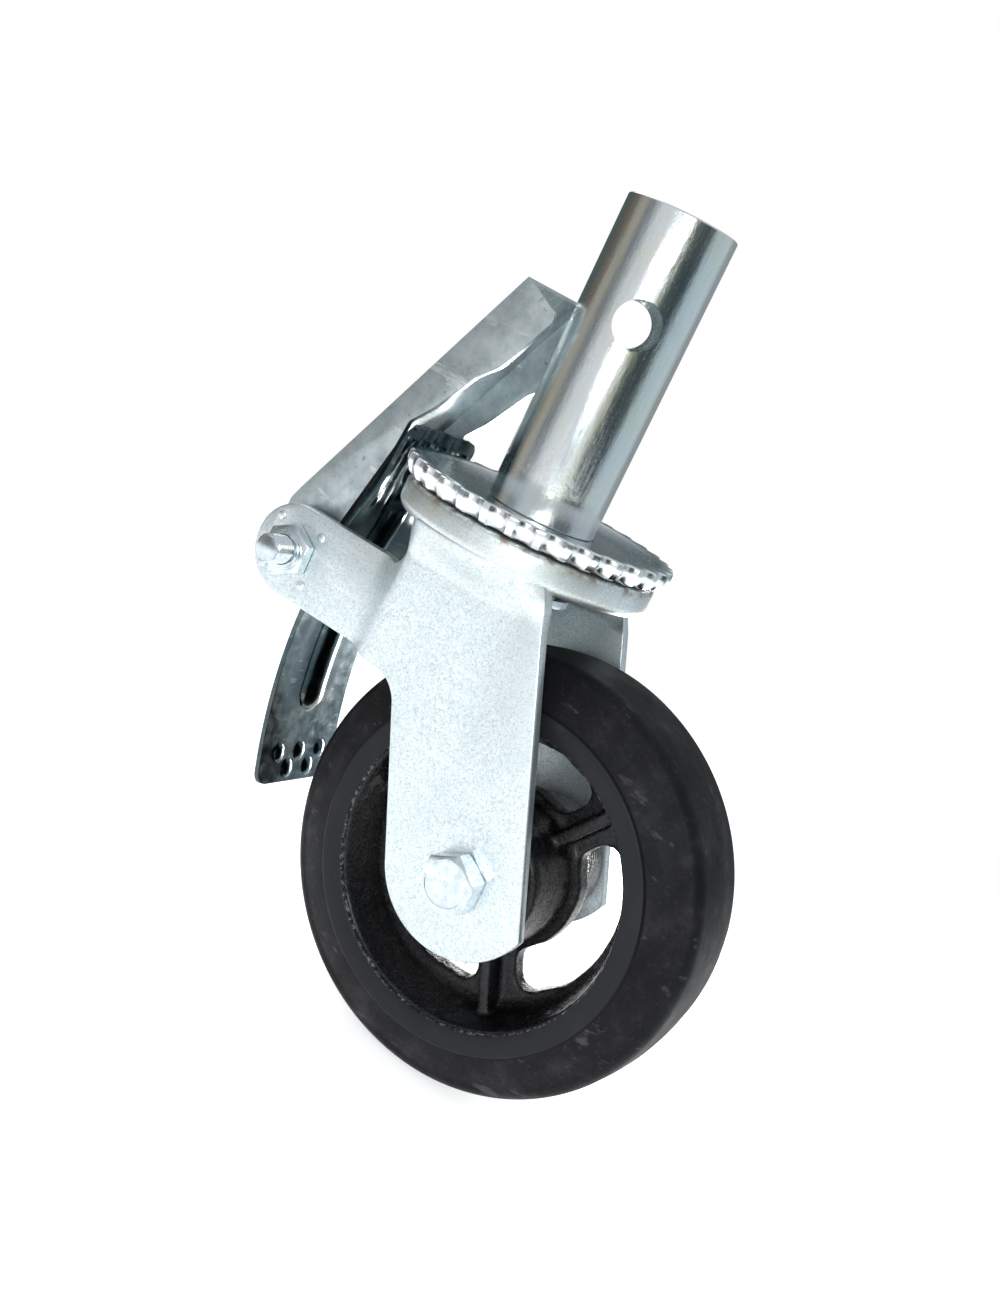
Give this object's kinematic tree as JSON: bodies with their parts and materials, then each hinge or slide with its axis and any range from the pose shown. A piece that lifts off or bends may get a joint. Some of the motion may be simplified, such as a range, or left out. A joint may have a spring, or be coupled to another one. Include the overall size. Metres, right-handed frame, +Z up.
{
  "type": "swivel scaffold caster with brake",
  "caption": "Swivel caster with a pinned tube stem, a scalloped swivel disc, a pressed fork, a rubber tyre on a black iron wheel, and a foot pedal that rocks a brake plate against the tyre.",
  "frame": {"origin": "on the stem's axis, in the plane where its tube stands on the swivel disc", "axes": "+Z up the stem, +X from the swivel axis towards the trailing wheel, +Y along the axle towards its nut"},
  "size_m": [0.2021, 0.0971, 0.2869],
  "materials": {
    "zinc": "zinc plated, pale and spangled",
    "bright_zinc": "zinc plated, bright",
    "fastener_zinc": "zinc plated bolts and nuts",
    "grey_zinc": "zinc plated, grey and scratched",
    "dark_zinc": "dark, glossy, heat-treated sheet",
    "bearing_steel": "ground bearing steel",
    "spring_steel": "drawn spring wire",
    "brass_cage": "pressed sheet",
    "black_iron": "black painted casting, glossy",
    "rubber": "moulded rubber, scuffed",
    "seal": "lip seal"
  },
  "bodies": {
    "stem": {"stem_tube": "bright_zinc", "stem_plug": "fastener_zinc", "swivel_disc": "bright_zinc", "king_bolt": "fastener_zinc", "king_nut": "fastener_zinc", "race_retainer": "fastener_zinc"},
    "swivel_balls": {"upper_ball_01": "bearing_steel", "upper_ball_02": "bearing_steel", "upper_ball_03": "bearing_steel", "upper_ball_04": "bearing_steel", "upper_ball_05": "bearing_steel", "upper_ball_06": "bearing_steel", "upper_ball_07": "bearing_steel", "upper_ball_08": "bearing_steel", "upper_ball_09": "bearing_steel", "upper_ball_10": "bearing_steel", "upper_ball_11": "bearing_steel", "upper_ball_12": "bearing_steel", "lower_ball_01": "bearing_steel", "lower_ball_02": "bearing_steel", "lower_ball_03": "bearing_steel", "lower_ball_04": "bearing_steel", "lower_ball_05": "bearing_steel", "lower_ball_06": "bearing_steel", "lower_ball_07": "bearing_steel", "lower_ball_08": "bearing_steel", "lower_ball_09": "bearing_steel", "lower_ball_10": "bearing_steel", "upper_ball_cage": "brass_cage", "lower_ball_cage": "brass_cage"},
    "fork": {"fork": "zinc", "axle_bolt": "fastener_zinc", "axle_nut": "fastener_zinc", "axle_sleeve": "bearing_steel", "thrust_washer_near": "fastener_zinc", "thrust_washer_far": "fastener_zinc", "pivot_bolt": "fastener_zinc", "pivot_nut": "fastener_zinc", "pivot_bush": "bearing_steel", "torsion_spring": "spring_steel"},
    "wheel": {"wheel_core": "black_iron", "tyre": "rubber", "bearing_shell": "bearing_steel", "hub_seal_near": "seal", "hub_seal_far": "seal"},
    "rollers": {"roller_1": "bearing_steel", "roller_2": "bearing_steel", "roller_3": "bearing_steel", "roller_4": "bearing_steel", "roller_5": "bearing_steel", "roller_6": "bearing_steel", "roller_7": "bearing_steel", "roller_8": "bearing_steel", "roller_cage": "brass_cage"},
    "pedal": {"brake_pedal": "grey_zinc"},
    "plate": {"brake_plate": "dark_zinc"}
  },
  "joints": [
    {"name": "swivel", "type": "hinge", "parent": "stem", "child": "fork", "pos_m": [0, 0, 0], "axis": [0, 0, 1], "continuous": true},
    {"name": "swivel_balls_roll", "type": "hinge", "parent": "stem", "child": "swivel_balls", "pos_m": [0, 0, 0], "axis": [0, 0, 1], "continuous": true},
    {"name": "wheel_spin", "type": "hinge", "parent": "fork", "child": "wheel", "pos_m": [0.04525, 0, -0.108], "axis": [0, 1, 0], "continuous": true},
    {"name": "rollers_roll", "type": "hinge", "parent": "fork", "child": "rollers", "pos_m": [0.04525, 0, -0.108], "axis": [0, 1, 0], "continuous": true},
    {"name": "pedal_press", "type": "hinge", "parent": "fork", "child": "pedal", "pos_m": [-0.0658, 0, -0.0478], "axis": [0, -1, 0], "range_deg": [0, 65]},
    {"name": "plate_rock", "type": "hinge", "parent": "fork", "child": "plate", "pos_m": [-0.048, 0, 0.012], "axis": [0, -1, 0], "range_deg": [0, 6.3]}
  ],
  "couplings": [
    {"joint": "swivel_balls_roll", "follows": "swivel", "ratio": 0.5},
    {"joint": "rollers_roll", "follows": "wheel_spin", "ratio": 0.6138},
    {"joint": "plate_rock", "follows": "pedal_press", "ratio": 0.096923}
  ]
}
